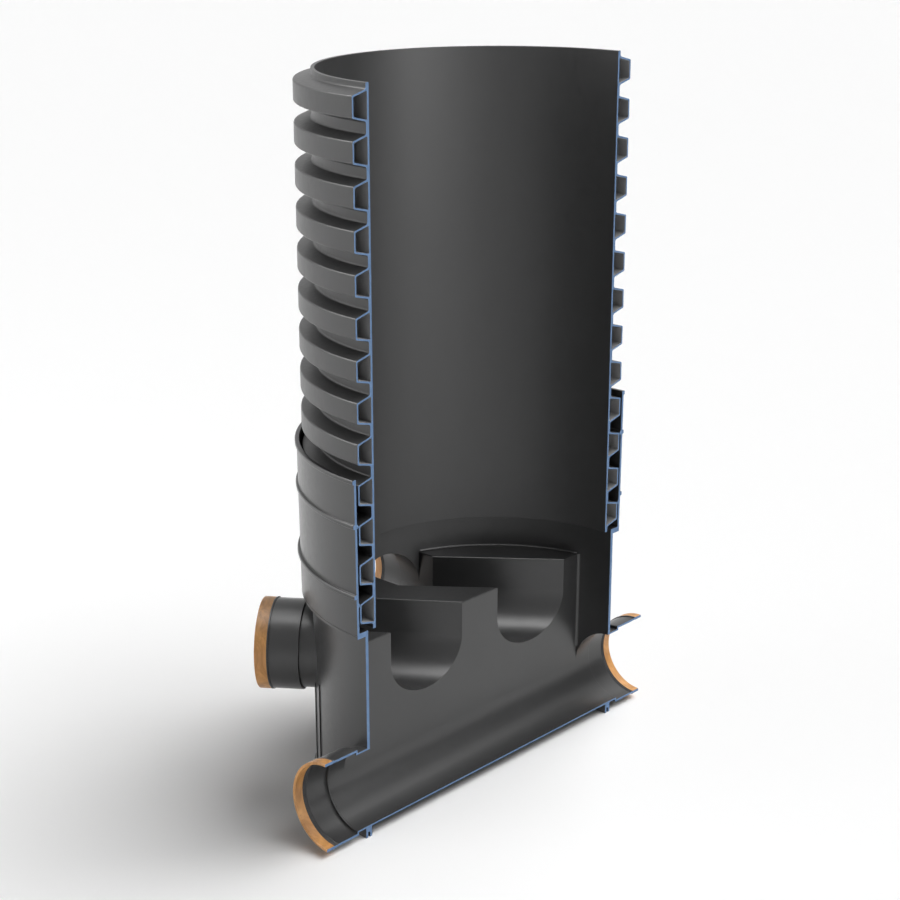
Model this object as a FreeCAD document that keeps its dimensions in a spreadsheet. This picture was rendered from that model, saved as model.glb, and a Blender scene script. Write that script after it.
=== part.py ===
"""Half section of a plastic drain inspection chamber, standing on its own skirt.

The origin is on the chamber's vertical axis, in the section plane, at the ground.
+X runs downstream along the main channel, +Y into the kept half and +Z up.
"""
import FreeCAD, Part
import math
import os

import Sketcher
from FreeCAD import Vector

# Driving dimensions in millimetres and degrees
SIZES = {
    # Corrugated riser pipe with a smooth liner and hollow ribs
    "riser_radius": 400.0,
    "riser_liner": 5.0,
    "riser_skin": 3.5,
    "riser_entry": 5.3,
    "rib_count": 13,
    "rib_pitch": 90.3,
    "rib_depth": 38.2,
    "rib_crest": 45.0,
    "rib_foot": 64.4,
    "rib_wall": 4.0,
    # Push-fit sleeve that takes the riser
    "sleeve_clearance": 3.3,
    "sleeve_wall": 6.0,
    "sleeve_height": 358.7,
    "sleeve_flare": 3.0,
    "sleeve_floor": 6.3,
    "collar_depth": 7.0,
    "collar_height": 10.0,
    "collar_low": 87.7,
    "bead_height": 6.0,
    "bead_clearance": 0.3,
    # Body wall with its shoulder flange and foot
    "body_step": 24.0,
    "body_wall": 8.0,
    "body_height": 498.3,
    "flange_thickness": 6.3,
    "foot_height": 27.0,
    "foot_inset": 3.0,
    "foot_outset": 7.0,
    "foot_groove_width": 6.0,
    "foot_groove_depth": 13.0,
    # Bench, main channel and the two branch channels
    "bench_height": 418.6,
    "bench_thickness": 5.0,
    "bench_edge_rounding": 3.0,
    "bench_corner_rounding": 5.0,
    "channel_radius": 94.5,
    "channel_wall": 4.0,
    "channel_height": 124.0,
    "branch_radius": 96.5,
    "branch_wall": 4.0,
    "branch_height": 336.0,
    "side_position": 140.0,
    "side_angle": 53.5,
    "rear_position": 50.0,
    "rear_join": 231.5,
    "rear_angle": 50.5,
    # Pipe sockets on the necks
    "neck_length": 30.0,
    "side_neck_length": 17.0,
    "socket_bore": 101.0,
    "socket_wall": 5.5,
    "socket_length": 75.0,
    "socket_step": 4.0,
    "seal_depth": 3.5,
    "seal_width": 12.0,
    "seal_lip": 1.2,
    "ring_radius": 108.0,
    "ring_length": 23.0,
    "ring_overlap": 4.0,
    "ring_chamfer": 1.2,
    # Reach of construction solids past what they cut, and of the bores into the channels
    "cut_margin": 100.0,
    "bore_overlap": 45.0,
}

# Sizes that follow from the driving dimensions, as expressions on the sheet
BODY_INNER = "(Dims.riser_radius + Dims.body_step)"
BODY_OUTER = f"({BODY_INNER} + Dims.body_wall)"
BODY_MIDDLE = f"({BODY_INNER} + Dims.body_wall / 2)"
VALLEY_RADIUS = "(Dims.riser_radius + Dims.riser_liner + Dims.riser_skin)"
CREST_RADIUS = f"({VALLEY_RADIUS} + Dims.rib_depth)"
RISER_BASE = "(Dims.body_height + Dims.riser_entry)"
SLEEVE_INNER = f"({CREST_RADIUS} + Dims.sleeve_clearance)"
SLEEVE_OUTER = f"({SLEEVE_INNER} + Dims.sleeve_wall)"
NECK_END = f"({BODY_OUTER} + Dims.neck_length)"
BENCH_MIDDLE = "(Dims.bench_height - Dims.bench_thickness / 2)"
SOCKET_OUTER = "(Dims.socket_bore + Dims.socket_wall)"
SEAL_SEAT = "(Dims.socket_bore + Dims.seal_depth)"
REAR_MITRE = (
    "(Dims.channel_radius + (Dims.rear_join - Dims.rear_position) * tan(Dims.rear_angle * 1 deg))"
)
SIDE_COS = "cos(Dims.side_angle * 1 deg)"
SIDE_SIN = "sin(Dims.side_angle * 1 deg)"
# Distance along the side branch from the channel face to the outside of the body
SIDE_HALF = f"(Dims.side_position * {SIDE_COS} + Dims.channel_radius * {SIDE_SIN})"
SIDE_WALL = (
    f"(sqrt(pow({SIDE_HALF}; 2) + pow({BODY_OUTER}; 2)"
    f" - pow(Dims.side_position; 2) - pow(Dims.channel_radius; 2)) - {SIDE_HALF})"
)
SIDE_REACH = f"({SIDE_WALL} + Dims.side_neck_length)"
SIDE_YAW = "(180 - Dims.side_angle)"
SIDE_START_X = "(0 - Dims.side_position)"

ORIGIN_POINT = (-1, 1)


def placement(x, y, z, yaw="0", pitch="0", roll="0"):
    """Returns a placement expression from expressions for its place and turn."""
    return f"placement(vector({x}; {y}; {z}); rotation({yaw}; {pitch}; {roll}))"


def add(doc, kind, name, where=None, **sizes):
    """Adds an object whose properties and placement are bound to expressions."""
    item = doc.addObject(kind, name)
    for key, expression in sizes.items():
        item.setExpression(key, expression)
    if where is not None:
        item.setExpression("Placement", where)
    return item


def combine(doc, kind, name, shapes):
    """Joins or intersects several shapes in one boolean object."""
    item = doc.addObject(kind, name)
    item.Shapes = shapes
    item.Refine = True
    return item


def cut(doc, name, base, tool):
    """Cuts one shape from another."""
    item = doc.addObject("Part::Cut", name)
    item.Base = base
    item.Tool = tool
    item.Refine = True
    return item


def make_sheet(doc):
    """Writes the driving dimensions to a sheet, one alias to a cell."""
    sheet = doc.addObject("Spreadsheet::Sheet", "Dims")
    for row, (alias, value) in enumerate(SIZES.items(), start=1):
        sheet.set(f"A{row}", alias)
        sheet.set(f"B{row}", str(value))
        sheet.setAlias(f"B{row}", alias)
    doc.recompute()
    return sheet


def bind_coordinate(sketch, kind, line, expression, end=1):
    """Holds one end of a line at a coordinate that may be negative."""
    value = float(sketch.evalExpression(expression))
    if value < 0:
        index = sketch.addConstraint(Sketcher.Constraint(kind, line, end, *ORIGIN_POINT, -value))
        sketch.setExpression(f"Constraints[{index}]", f"0 - ({expression})")
        return
    index = sketch.addConstraint(Sketcher.Constraint(kind, *ORIGIN_POINT, line, end, value))
    sketch.setExpression(f"Constraints[{index}]", expression)


def draw_outline(sketch, corners, closed=True):
    """Draws straight lines through corners given as pairs of expressions."""
    points = [Vector(*(float(sketch.evalExpression(part)) for part in corner)) for corner in corners]
    count = len(points)
    last = count if closed else count - 1
    for index in range(last):
        sketch.addGeometry(Part.LineSegment(points[index], points[(index + 1) % count]))
    for index in range(last - 1):
        sketch.addConstraint(Sketcher.Constraint("Coincident", index, 2, index + 1, 1))
    if closed:
        sketch.addConstraint(Sketcher.Constraint("Coincident", last - 1, 2, 0, 1))
    for index in range(last):
        bind_coordinate(sketch, "DistanceX", index, corners[index][0])
        bind_coordinate(sketch, "DistanceY", index, corners[index][1])
    if not closed:
        bind_coordinate(sketch, "DistanceX", last - 1, corners[-1][0], end=2)
        bind_coordinate(sketch, "DistanceY", last - 1, corners[-1][1], end=2)


def draw_trough(sketch, radius, top):
    """Draws a channel section: a half round invert with upright sides up to a flat top."""
    size = float(sketch.evalExpression(radius))
    height = float(sketch.evalExpression(top))
    corners = [Vector(size, 0), Vector(size, height), Vector(-size, height), Vector(-size, 0)]
    for start, end in zip(corners, corners[1:]):
        sketch.addGeometry(Part.LineSegment(start, end))
    sketch.addGeometry(Part.Arc(corners[3], Vector(0, -size), corners[0]))
    for index in range(2):
        sketch.addConstraint(Sketcher.Constraint("Coincident", index, 2, index + 1, 1))
    sketch.addConstraint(Sketcher.Constraint("Tangent", 2, 2, 3, 1))
    sketch.addConstraint(Sketcher.Constraint("Tangent", 3, 2, 0, 1))
    sketch.addConstraint(Sketcher.Constraint("Coincident", 3, 3, *ORIGIN_POINT))
    sketch.addConstraint(Sketcher.Constraint("Horizontal", 1))
    sketch.addConstraint(Sketcher.Constraint("Vertical", 0))
    row = sketch.addConstraint(Sketcher.Constraint("Radius", 3, size))
    sketch.setExpression(f"Constraints[{row}]", radius)
    row = sketch.addConstraint(Sketcher.Constraint("DistanceY", *ORIGIN_POINT, 1, 1, height))
    sketch.setExpression(f"Constraints[{row}]", top)


def draw_lipped_trough(sketch, radius, bench, top):
    """Draws a channel section whose upright sides curve out level with the bench."""
    size = float(sketch.evalExpression(radius))
    level = float(sketch.evalExpression(bench))
    height = float(sketch.evalExpression(top))
    lip = float(sketch.evalExpression("Dims.bench_edge_rounding"))
    wide = size + lip
    square = math.pi / 2
    right_lip = Part.Circle(Vector(wide, level - lip), Vector(0, 0, 1), lip)
    left_lip = Part.Circle(Vector(-wide, level - lip), Vector(0, 0, 1), lip)
    sketch.addGeometry([
        Part.LineSegment(Vector(size, 0), Vector(size, level - lip)),
        Part.ArcOfCircle(right_lip, square, 2 * square),
        Part.LineSegment(Vector(wide, level), Vector(wide, height)),
        Part.LineSegment(Vector(wide, height), Vector(-wide, height)),
        Part.LineSegment(Vector(-wide, height), Vector(-wide, level)),
        Part.ArcOfCircle(left_lip, 0, square),
        Part.LineSegment(Vector(-size, level - lip), Vector(-size, 0)),
        Part.Arc(Vector(-size, 0), Vector(0, -size), Vector(size, 0)),
    ])
    right_side, right_arc, right_wall, ceiling, left_wall, left_arc, left_side, invert = range(8)
    joins = (
        ("Tangent", right_side, 2, right_arc, 2), ("Coincident", right_arc, 1, right_wall, 1),
        ("Coincident", right_wall, 2, ceiling, 1), ("Coincident", ceiling, 2, left_wall, 1),
        ("Coincident", left_wall, 2, left_arc, 2), ("Tangent", left_arc, 1, left_side, 1),
        ("Tangent", left_side, 2, invert, 1), ("Tangent", invert, 2, right_side, 1),
        ("Coincident", invert, 3, *ORIGIN_POINT), ("Horizontal", ceiling),
        ("Vertical", right_side), ("Vertical", right_wall), ("Vertical", left_wall),
        ("Vertical", right_arc, 3, right_arc, 1), ("Vertical", left_arc, 3, left_arc, 2),
    )
    for join in joins:
        sketch.addConstraint(Sketcher.Constraint(*join))
    sizes = (
        (("Radius", invert, size), radius),
        (("Radius", right_arc, lip), "Dims.bench_edge_rounding"),
        (("Radius", left_arc, lip), "Dims.bench_edge_rounding"),
        (("DistanceY", *ORIGIN_POINT, right_wall, 1, level), bench),
        (("DistanceY", *ORIGIN_POINT, left_wall, 2, level), bench),
        (("DistanceY", *ORIGIN_POINT, ceiling, 1, height), top),
    )
    for size_constraint, expression in sizes:
        index = sketch.addConstraint(Sketcher.Constraint(*size_constraint))
        sketch.setExpression(f"Constraints[{index}]", expression)


def draw_corner_fill(sketch):
    """Draws the hollow round that fills the corner between the bench and the wall."""
    inner = float(sketch.evalExpression(BODY_INNER))
    middle = float(sketch.evalExpression(BODY_MIDDLE))
    bench = float(sketch.evalExpression("Dims.bench_height"))
    size = float(sketch.evalExpression("Dims.bench_corner_rounding"))
    root = float(sketch.evalExpression(BENCH_MIDDLE))
    square = math.pi / 2
    hollow = Part.Circle(Vector(inner - size, bench + size), Vector(0, 0, 1), size)
    sketch.addGeometry([
        Part.LineSegment(Vector(inner - size, bench), Vector(inner - size, root)),
        Part.LineSegment(Vector(inner - size, root), Vector(middle, root)),
        Part.LineSegment(Vector(middle, root), Vector(middle, bench + size)),
        Part.LineSegment(Vector(middle, bench + size), Vector(inner, bench + size)),
        Part.ArcOfCircle(hollow, 3 * square, 4 * square),
    ])
    side, foot, back, head, arc = range(5)
    joins = (
        ("Coincident", side, 2, foot, 1), ("Coincident", foot, 2, back, 1), ("Coincident", back, 2, head, 1),
        ("Coincident", head, 2, arc, 2), ("Coincident", arc, 1, side, 1), ("Vertical", side),
        ("Horizontal", foot), ("Vertical", back), ("Horizontal", head),
        ("Vertical", arc, 3, arc, 1), ("Horizontal", arc, 3, arc, 2),
    )
    for join in joins:
        sketch.addConstraint(Sketcher.Constraint(*join))
    sizes = (
        (("Radius", arc, size), "Dims.bench_corner_rounding"),
        (("DistanceX", *ORIGIN_POINT, head, 2, inner), BODY_INNER),
        (("DistanceX", *ORIGIN_POINT, back, 1, middle), BODY_MIDDLE),
        (("DistanceY", *ORIGIN_POINT, side, 1, bench), "Dims.bench_height"),
        (("DistanceY", *ORIGIN_POINT, foot, 1, root), BENCH_MIDDLE),
    )
    for size_constraint, expression in sizes:
        index = sketch.addConstraint(Sketcher.Constraint(*size_constraint))
        sketch.setExpression(f"Constraints[{index}]", expression)


def origin_feature(body, role):
    """Finds a plane or an axis of a body's own origin."""
    return next(item for item in body.Origin.OriginFeatures if item.Role == role)


def body_sketch(body, name, corners):
    """Draws a closed outline on a body's own XZ plane."""
    sketch = body.newObject("Sketcher::SketchObject", name)
    sketch.AttachmentSupport = (origin_feature(body, "XZ_Plane"), [""])
    sketch.MapMode = "FlatFace"
    draw_outline(sketch, corners)
    return sketch


def turn(body, kind, name, corners, axis, angle=180, reverse=False):
    """Revolves an outline round one of its sketch's own axes."""
    sketch = body_sketch(body, name + "_outline", corners)
    feature = body.newObject(kind, name)
    feature.Profile = sketch
    feature.ReferenceAxis = (sketch, [axis])
    feature.Angle = angle
    feature.Reversed = reverse
    body.Tip = feature
    return feature


def repeat_up(body, name, feature, pitch, count):
    """Repeats a feature upward along the body's own vertical axis."""
    pattern = body.newObject("PartDesign::LinearPattern", name)
    pattern.Originals = [feature]
    pattern.Direction = (origin_feature(body, "Z_Axis"), [""])
    pattern.Mode = "Spacing"
    pattern.setExpression("Offset", pitch)
    pattern.setExpression("Occurrences", count)
    body.Tip = pattern
    return pattern


def make_riser(doc):
    """Makes the riser: a smooth liner with hollow trapezoid ribs moulded round it."""
    body = add(doc, "PartDesign::Body", "riser_pipe", placement("0", "0", RISER_BASE))
    tube = [
        ("Dims.riser_radius", "0"),
        (VALLEY_RADIUS, "0"),
        (VALLEY_RADIUS, "Dims.rib_pitch * Dims.rib_count"),
        ("Dims.riser_radius", "Dims.rib_pitch * Dims.rib_count"),
    ]
    turn(body, "PartDesign::Revolution", "riser_tube", tube, "V_Axis")
    liner_outer = "(Dims.riser_radius + Dims.riser_liner)"
    flank = "((Dims.rib_foot - Dims.rib_crest) / 2 / Dims.rib_depth)"
    rib = [
        (liner_outer, "(Dims.rib_pitch - Dims.rib_foot) / 2"),
        (VALLEY_RADIUS, "(Dims.rib_pitch - Dims.rib_foot) / 2"),
        (CREST_RADIUS, "(Dims.rib_pitch - Dims.rib_crest) / 2"),
        (CREST_RADIUS, "(Dims.rib_pitch + Dims.rib_crest) / 2"),
        (VALLEY_RADIUS, "(Dims.rib_pitch + Dims.rib_foot) / 2"),
        (liner_outer, "(Dims.rib_pitch + Dims.rib_foot) / 2"),
    ]
    first_rib = turn(body, "PartDesign::Revolution", "riser_rib", rib, "V_Axis")
    repeat_up(body, "riser_ribs", first_rib, "Dims.rib_pitch", "Dims.rib_count")
    hollow_crest = f"(Dims.rib_crest / 2 - Dims.rib_wall * (1 - {flank}))"
    hollow_foot = f"({hollow_crest} + ({CREST_RADIUS} - Dims.rib_wall - {liner_outer}) * {flank})"
    hollow = [
        (liner_outer, f"Dims.rib_pitch / 2 - {hollow_foot}"),
        (f"{CREST_RADIUS} - Dims.rib_wall", f"Dims.rib_pitch / 2 - {hollow_crest}"),
        (f"{CREST_RADIUS} - Dims.rib_wall", f"Dims.rib_pitch / 2 + {hollow_crest}"),
        (liner_outer, f"Dims.rib_pitch / 2 + {hollow_foot}"),
    ]
    first_hollow = turn(body, "PartDesign::Groove", "riser_hollow", hollow, "V_Axis")
    repeat_up(body, "riser_hollows", first_hollow, "Dims.rib_pitch", "Dims.rib_count")
    return body


def make_sleeve(doc):
    """Makes the push-fit sleeve, with outer collars and inner beads that hold the riser."""
    body = add(doc, "PartDesign::Body", "riser_socket", placement("0", "0", "Dims.body_height"))
    upper_corner = f"(Dims.riser_entry + Dims.rib_pitch * {{}} + (Dims.rib_pitch + Dims.rib_crest) / 2)"
    low_bead = upper_corner.format(0)
    high_bead = upper_corner.format(2)
    lip = "(Dims.sleeve_height - Dims.collar_height)"
    shell = [
        (BODY_INNER, "0"),
        (SLEEVE_OUTER, "0"),
        (f"{SLEEVE_OUTER} + Dims.sleeve_flare", "Dims.sleeve_height"),
        (f"{SLEEVE_INNER} + Dims.sleeve_flare", "Dims.sleeve_height"),
        (SLEEVE_INNER, "Dims.sleeve_floor"),
        (BODY_INNER, "Dims.sleeve_floor"),
    ]
    turn(body, "PartDesign::Revolution", "sleeve_shell", shell, "V_Axis")
    collars = (("low", "Dims.collar_low"), ("high", f"({high_bead} - Dims.collar_height / 2)"), ("lip", lip))
    for name, foot in collars:
        ring = [
            (SLEEVE_OUTER + " - Dims.sleeve_wall / 2", foot),
            (SLEEVE_OUTER + " + Dims.collar_depth", foot),
            (SLEEVE_OUTER + " + Dims.collar_depth", f"{foot} + Dims.collar_height"),
            (SLEEVE_OUTER + " - Dims.sleeve_wall / 2", f"{foot} + Dims.collar_height"),
        ]
        turn(body, "PartDesign::Revolution", f"sleeve_collar_{name}", ring, "V_Axis")
    for name, level in (("low", low_bead), ("high", high_bead)):
        bead = [
            (SLEEVE_INNER + " + Dims.sleeve_wall / 2", f"{level} - Dims.bead_height"),
            (SLEEVE_INNER + " + Dims.sleeve_wall / 2", f"{level} + Dims.bead_height"),
            (CREST_RADIUS + " + Dims.bead_clearance", level),
            (CREST_RADIUS + " + Dims.bead_clearance", f"{level} - Dims.bead_height / 2"),
        ]
        turn(body, "PartDesign::Revolution", f"sleeve_bead_{name}", bead, "V_Axis")
    return body


def revolve(doc, name, outline):
    """Turns an outline right round the vertical axis."""
    solid = doc.addObject("Part::Revolution", name)
    solid.Source = outline
    solid.Axis = Vector(0, 0, 1)
    solid.Angle = 360
    solid.Solid = True
    return solid


def make_wall(doc):
    """Makes the body wall with its shoulder flange and its grooved foot."""
    outline = doc.addObject("Sketcher::SketchObject", "wall_outline")
    outline.setExpression("Placement", placement("0", "0", "0", roll="90"))
    groove_middle = f"({BODY_MIDDLE} + (Dims.foot_outset - Dims.foot_inset) / 2)"
    corners = [
        (f"{BODY_INNER} - Dims.foot_inset", "0"),
        (f"{groove_middle} - Dims.foot_groove_width / 2", "0"),
        (f"{groove_middle} - Dims.foot_groove_width / 2", "Dims.foot_groove_depth"),
        (f"{groove_middle} + Dims.foot_groove_width / 2", "Dims.foot_groove_depth"),
        (f"{groove_middle} + Dims.foot_groove_width / 2", "0"),
        (f"{BODY_OUTER} + Dims.foot_outset", "0"),
        (f"{BODY_OUTER} + Dims.foot_outset", "Dims.foot_height"),
        (BODY_OUTER, "Dims.foot_height"),
        (BODY_OUTER, "Dims.body_height - Dims.flange_thickness"),
        (SLEEVE_OUTER, "Dims.body_height - Dims.flange_thickness"),
        (SLEEVE_OUTER, "Dims.body_height"),
        (BODY_INNER, "Dims.body_height"),
        (BODY_INNER, "Dims.foot_height"),
        (f"{BODY_INNER} - Dims.foot_inset", "Dims.foot_height"),
    ]
    draw_outline(outline, corners)
    return revolve(doc, "wall", outline)


def draw_channel(sketch, radius, bench, above):
    """Draws a channel section up to the bench, or lipped and on up where it is to be cut away."""
    if above is None:
        draw_trough(sketch, radius, bench)
    else:
        draw_lipped_trough(sketch, radius, bench, f"({bench} + {above})")


def make_corner_fill(doc):
    """Makes the hollow round between the bench and the wall."""
    outline = doc.addObject("Sketcher::SketchObject", "corner_fill_outline")
    outline.setExpression("Placement", placement("0", "0", "0", roll="90"))
    draw_corner_fill(outline)
    return revolve(doc, "corner_fill", outline)


def make_trough(doc, name, radius, where, ahead, behind, bench, above):
    """Makes a straight channel as a solid that runs both ways from its section."""
    section = doc.addObject("Sketcher::SketchObject", name + "_section")
    section.setExpression("Placement", where)
    draw_channel(section, radius, bench, above)
    solid = doc.addObject("Part::Extrusion", name)
    solid.Base = section
    solid.DirMode = "Normal"
    solid.Solid = True
    solid.setExpression("LengthFwd", ahead)
    solid.setExpression("LengthRev", behind)
    return solid


def make_bent_trough(doc, name, radius, bench, above):
    """Makes the rear branch: straight from the wall, then mitred towards the main channel."""
    path = doc.addObject("Sketcher::SketchObject", name + "_path")
    path.setExpression("Placement", placement("0", "0", "Dims.branch_height"))
    join_x = "Dims.rear_join + Dims.cut_margin * cos(Dims.rear_angle * 1 deg)"
    join_y = "Dims.channel_radius - Dims.cut_margin * sin(Dims.rear_angle * 1 deg)"
    corners = [
        ("Dims.rear_position", NECK_END),
        ("Dims.rear_position", REAR_MITRE),
        (join_x, join_y),
    ]
    draw_outline(path, corners, closed=False)
    section = doc.addObject("Sketcher::SketchObject", name + "_section")
    where = placement("Dims.rear_position", NECK_END, "Dims.branch_height", "180", "0", "90")
    section.setExpression("Placement", where)
    draw_channel(section, radius, bench, above)
    solid = doc.addObject("Part::Sweep", name)
    solid.Sections = [section]
    solid.Spine = (path, ["Edge1", "Edge2"])
    solid.Solid = True
    solid.Frenet = False
    solid.Transition = "Right corner"
    return solid


def make_pipe(doc, name, radius, start, yaw, length):
    """Makes a level cylinder from a start point along a compass direction."""
    where = placement(*start, yaw, "90", "0")
    return add(doc, "Part::Cylinder", name, where, Radius=radius, Height=length)


def channel_solids(doc, name, main_radius, branch_radius, above=None):
    """Makes the three channels as solids, once for the shells and once for the flow."""
    main_bench = "(Dims.bench_height - Dims.channel_height)"
    branch_bench = "(Dims.bench_height - Dims.branch_height)"
    main_place = placement("0", "0", "Dims.channel_height", "90", "0", "90")
    half = BODY_OUTER
    main = make_trough(doc, f"{name}_main", main_radius, main_place, half, half, main_bench, above)
    side_yaw = f"{SIDE_YAW} + 90"
    side_place = placement(SIDE_START_X, "Dims.channel_radius", "Dims.branch_height", side_yaw, "0", "90")
    side = make_trough(
        doc, f"{name}_side", branch_radius, side_place, SIDE_REACH, "Dims.cut_margin", branch_bench, above
    )
    rear = make_bent_trough(doc, f"{name}_rear", branch_radius, branch_bench, above)
    return combine(doc, "Part::MultiFuse", f"{name}_channels", [main, side, rear])


def neck_solids(doc, name, main_radius, branch_radius):
    """Makes the four necks as cylinders, once for the walls and once for the bores."""
    main = make_pipe(
        doc, f"{name}_main_neck", main_radius, (f"0 - {NECK_END}", "0", "Dims.channel_height"), "0",
        f"2 * {NECK_END}",
    )
    side_run = "(Dims.side_neck_length + Dims.body_wall + Dims.bore_overlap)"
    rear_run = "(Dims.neck_length + Dims.body_wall + Dims.bore_overlap)"
    side_start = (
        f"{SIDE_START_X} - ({SIDE_REACH} - {side_run}) * {SIDE_COS}",
        f"Dims.channel_radius + ({SIDE_REACH} - {side_run}) * {SIDE_SIN}",
        "Dims.branch_height",
    )
    side = make_pipe(doc, f"{name}_side_neck", branch_radius, side_start, SIDE_YAW, side_run)
    rear_start = ("Dims.rear_position", f"{NECK_END} - {rear_run}", "Dims.branch_height")
    rear = make_pipe(doc, f"{name}_rear_neck", branch_radius, rear_start, "90", rear_run)
    return combine(doc, "Part::MultiFuse", f"{name}_necks", [main, side, rear])


def make_base(doc):
    """Makes the chamber base: wall, bench, channels and necks, moulded in one and sectioned."""
    wall = make_wall(doc)
    bench_level = "Dims.bench_height - Dims.bench_thickness"
    bench = add(
        doc, "Part::Cylinder", "bench", placement("0", "0", bench_level),
        Radius=BODY_MIDDLE, Height="Dims.bench_thickness",
    )
    corner = make_corner_fill(doc)
    shells = channel_solids(
        doc, "shell", "Dims.channel_radius + Dims.channel_wall", "Dims.branch_radius + Dims.branch_wall"
    )
    middle = add(doc, "Part::Cylinder", "shell_limit", Radius=BODY_MIDDLE, Height="Dims.body_height")
    shells_inside = combine(doc, "Part::MultiCommon", "shells_inside", [shells, middle])
    necks = neck_solids(
        doc, "shell", "Dims.channel_radius + Dims.channel_wall", "Dims.branch_radius + Dims.branch_wall"
    )
    hollow = add(doc, "Part::Cylinder", "neck_limit", Radius=BODY_INNER, Height="Dims.body_height")
    necks_outside = cut(doc, "necks_outside", necks, hollow)
    solid = combine(
        doc, "Part::MultiFuse", "base_solid", [wall, bench, corner, shells_inside, necks_outside]
    )

    flow = channel_solids(doc, "flow", "Dims.channel_radius", "Dims.branch_radius", "Dims.cut_margin")
    chamber = add(doc, "Part::Cylinder", "flow_limit", Radius=BODY_INNER, Height="Dims.body_height")
    flow_inside = combine(doc, "Part::MultiCommon", "flow_inside", [flow, chamber])
    bores = neck_solids(doc, "flow", "Dims.channel_radius", "Dims.branch_radius")
    water = combine(doc, "Part::MultiFuse", "water", [flow_inside, bores])
    hollowed = cut(doc, "base_hollowed", solid, water)

    kept = add(
        doc, "Part::Box", "kept_half", placement(f"0 - {NECK_END}", "0", "0"),
        Length=f"2 * {NECK_END}", Width=NECK_END, Height="Dims.body_height",
    )
    return combine(doc, "Part::MultiCommon", "chamber_base", [hollowed, kept])


def pipe_end(doc, name, corners, where, half, reverse):
    """Makes one ring-shaped piece at a neck, as a half for the cut main channel."""
    body = add(doc, "PartDesign::Body", name, where)
    turn(body, "PartDesign::Revolution", name + "_turned", corners, "H_Axis", 180 if half else 360, reverse)
    return body


def socket_section(neck_bore):
    """Returns the socket's section: a step on the neck, the pipe bore and the seal's seat."""
    seal_start = "(Dims.socket_length - Dims.seal_width)"
    return [
        ("0", neck_bore),
        ("0", SOCKET_OUTER),
        ("Dims.socket_length", SOCKET_OUTER),
        ("Dims.socket_length", SEAL_SEAT),
        (seal_start, SEAL_SEAT),
        (seal_start, "Dims.socket_bore"),
        ("Dims.socket_step", "Dims.socket_bore"),
        ("Dims.socket_step", neck_bore),
    ]


def ring_section():
    """Returns the retaining ring's section, which laps over the end of the socket."""
    ring_end = "(Dims.socket_length + Dims.ring_length)"
    return [
        ("Dims.socket_length - Dims.ring_overlap", SOCKET_OUTER),
        ("Dims.socket_length - Dims.ring_overlap", "Dims.ring_radius"),
        (f"{ring_end} - Dims.ring_chamfer", "Dims.ring_radius"),
        (ring_end, "Dims.ring_radius - Dims.ring_chamfer"),
        (ring_end, "Dims.socket_bore + Dims.ring_chamfer"),
        (f"{ring_end} - Dims.ring_chamfer", "Dims.socket_bore"),
        ("Dims.socket_length", "Dims.socket_bore"),
        ("Dims.socket_length", SOCKET_OUTER),
    ]


def seal_section():
    """Returns the lip seal's section: a band in the seat with two lips level with the bore."""
    seal_start = "(Dims.socket_length - Dims.seal_width)"
    return [
        (seal_start, SEAL_SEAT),
        ("Dims.socket_length", SEAL_SEAT),
        ("Dims.socket_length", "Dims.socket_bore"),
        (f"{seal_start} + Dims.seal_width * 3 / 4", "Dims.socket_bore + Dims.seal_lip"),
        (f"{seal_start} + Dims.seal_width / 2", "Dims.socket_bore"),
        (f"{seal_start} + Dims.seal_width / 4", "Dims.socket_bore + Dims.seal_lip"),
        (seal_start, "Dims.socket_bore"),
    ]


def make_pipe_ends(doc):
    """Makes a socket, a lip seal and a retaining ring at each of the four necks."""
    side_x = f"{SIDE_START_X} - {SIDE_REACH} * {SIDE_COS}"
    side_y = f"Dims.channel_radius + {SIDE_REACH} * {SIDE_SIN}"
    ends = (
        ("main_inlet", (f"0 - {NECK_END}", "0", "Dims.channel_height"), "180", True, False),
        ("main_outlet", (NECK_END, "0", "Dims.channel_height"), "0", True, True),
        ("side_inlet", (side_x, side_y, "Dims.branch_height"), SIDE_YAW, False, False),
        ("rear_inlet", ("Dims.rear_position", NECK_END, "Dims.branch_height"), "90", False, False),
    )
    pieces = []
    for name, start, yaw, half, reverse in ends:
        where = placement(*start, yaw)
        neck_bore = "Dims.channel_radius" if half else "Dims.branch_radius"
        sections = {"socket": socket_section(neck_bore), "seal": seal_section(), "ring": ring_section()}
        for kind, corners in sections.items():
            pieces.append(pipe_end(doc, f"{name}_{kind}", corners, where, half, reverse))
    return pieces


def check_document(doc, pieces):
    """Stops on any object that failed, or any piece whose solid is missing or broken."""
    for item in doc.Objects:
        if "Invalid" in item.State or "Error" in item.State:
            raise RuntimeError(f"{item.Label} did not recompute: {item.State}")
    for piece in pieces:
        if piece.Shape.isNull() or not piece.Shape.isValid() or len(piece.Shape.Solids) != 1:
            raise RuntimeError(f"{piece.Label} is not one valid solid")


def main():
    """Builds every piece, checks it and writes one file for each."""
    doc = FreeCAD.newDocument("DrainInspectionChamber")
    make_sheet(doc)
    pieces = [make_riser(doc), make_sleeve(doc), make_base(doc)]
    pieces.extend(make_pipe_ends(doc))
    doc.recompute()
    check_document(doc, pieces)
    os.makedirs("parts", exist_ok=True)
    for piece in pieces:
        piece.Shape.exportStep(f"parts/{piece.Label}.step")
        box = piece.Shape.BoundBox
        print(
            f"{piece.Label}: {piece.Shape.Volume / 1000:.1f} cm3,"
            f" x {box.XMin:.1f}..{box.XMax:.1f}, y {box.YMin:.1f}..{box.YMax:.1f},"
            f" z {box.ZMin:.1f}..{box.ZMax:.1f}, {len(piece.Shape.Faces)} faces"
        )


if __name__ == "__main__":
    main()
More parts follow.
